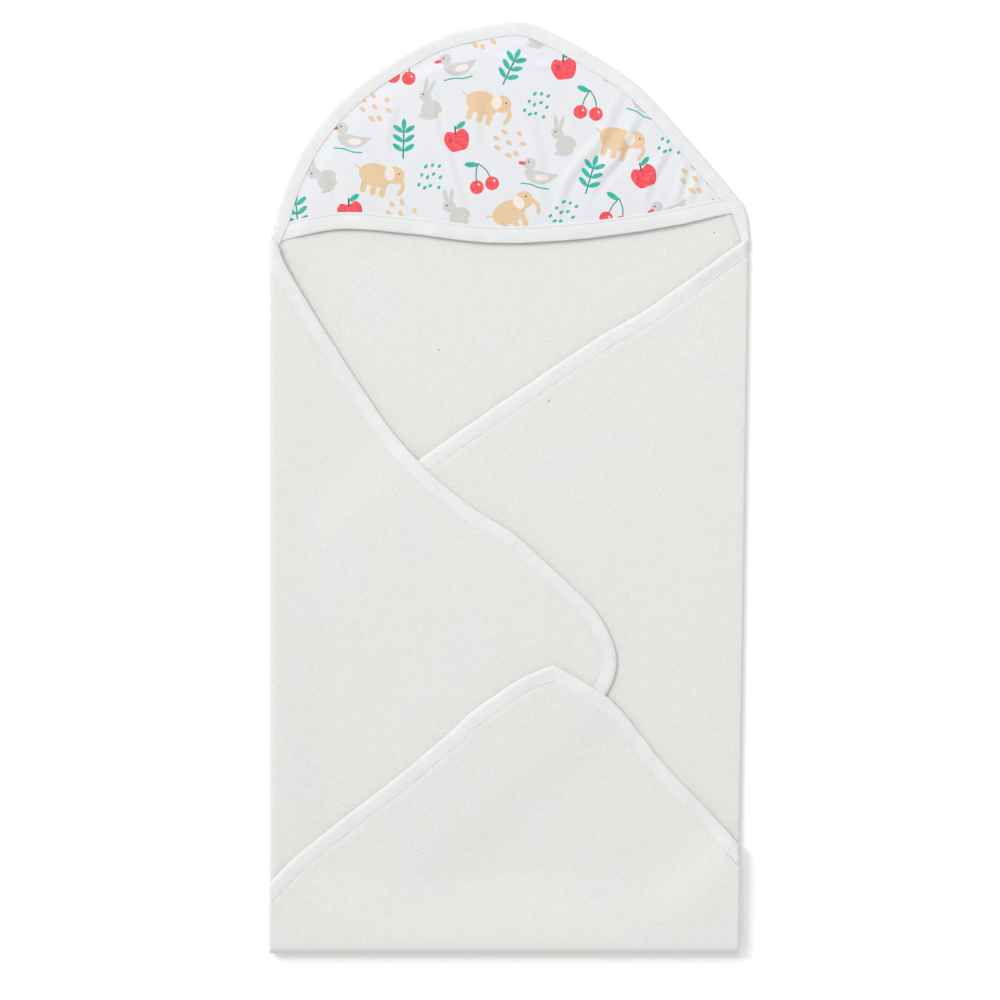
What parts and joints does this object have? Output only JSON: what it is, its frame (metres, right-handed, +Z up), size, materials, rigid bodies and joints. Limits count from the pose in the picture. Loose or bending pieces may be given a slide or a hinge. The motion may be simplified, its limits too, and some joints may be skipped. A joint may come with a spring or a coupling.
{
  "type": "hooded baby towel",
  "caption": "Hooded baby towel folded flat as a swaddle, with a printed hood, bound edges and three corners that fold out.",
  "frame": {"origin": "middle of the folded towel's box, on the surface that it lies on", "axes": "+Z up through the layers, +Y towards the hood, +X to the side of the right fold"},
  "size_m": [0.4145, 0.8023, 0.0133],
  "materials": {
    "terry": "matte",
    "binding": "matte",
    "hood_print": "matte",
    "thread": "matte"
  },
  "bodies": {
    "centre": {"towel_centre": "terry"},
    "crown": {"crown_terry": "terry", "crown_binding": "binding", "crown_stitching": "thread"},
    "hood": {"hood_panel": "hood_print", "hood_front_band": "binding", "hood_band_stitching": "thread"},
    "left": {"left_flap": "terry", "left_fold_turn": "terry", "left_binding": "binding", "left_stitching": "thread"},
    "right": {"right_flap": "terry", "right_fold_turn": "terry", "right_binding": "binding", "right_stitching": "thread"},
    "bottom": {"bottom_flap": "terry", "bottom_fold_turn": "terry", "bottom_binding_left": "binding", "bottom_binding_right": "binding", "bottom_binding_overlap": "binding", "bottom_stitching": "thread"},
    "left_tip": {"left_tip": "terry", "left_tip_turn": "terry", "left_tip_binding": "binding"},
    "right_tip": {"right_tip": "terry", "right_tip_turn": "terry", "right_tip_binding": "binding"}
  },
  "joints": [
    {"name": "crown_tilt", "type": "hinge", "parent": "centre", "child": "crown", "pos_m": [0, 0.207, 0.0012], "axis": [1, 0, 0], "range_deg": [0, 90]},
    {"name": "hood_open", "type": "hinge", "parent": "crown", "child": "hood", "pos_m": [0, 0.386, 0.003], "axis": [-1, 0, 0], "range_deg": [0, 35], "deforming": ["hood_panel", "hood_front_band", "hood_band_stitching"]},
    {"name": "left_fold", "type": "hinge", "parent": "centre", "child": "left", "pos_m": [-0.2036, 0, 0.0039], "axis": [0, -1, 0], "range_deg": [0, 179.5], "deforming": ["left_flap", "left_fold_turn", "left_binding", "left_stitching"]},
    {"name": "right_fold", "type": "hinge", "parent": "centre", "child": "right", "pos_m": [0.19985, 0, 0.00255], "axis": [0.015, 0.9999, 0], "range_deg": [0, 179.5], "deforming": ["right_flap", "right_fold_turn", "right_binding", "right_stitching"]},
    {"name": "bottom_fold", "type": "hinge", "parent": "centre", "child": "bottom", "pos_m": [0, -0.3944, 0.0066], "axis": [1, 0, 0], "range_deg": [0, 179.5], "deforming": ["bottom_fold_turn"]},
    {"name": "left_tip_fold", "type": "hinge", "parent": "bottom", "child": "left_tip", "pos_m": [-0.2036, 0, 0.01065], "axis": [0, 1, 0], "range_deg": [-179.5, 0], "deforming": ["left_tip", "left_tip_turn", "left_tip_binding"]},
    {"name": "right_tip_fold", "type": "hinge", "parent": "bottom", "child": "right_tip", "pos_m": [0.19985, 0, 0.01065], "axis": [-0.015, -0.9999, 0], "range_deg": [-179.5, 0], "deforming": ["right_tip", "right_tip_turn", "right_tip_binding"]}
  ],
  "couplings": [
    {"joint": "left_tip_fold", "follows": "left_fold", "ratio": -1},
    {"joint": "right_tip_fold", "follows": "right_fold", "ratio": -1}
  ]
}
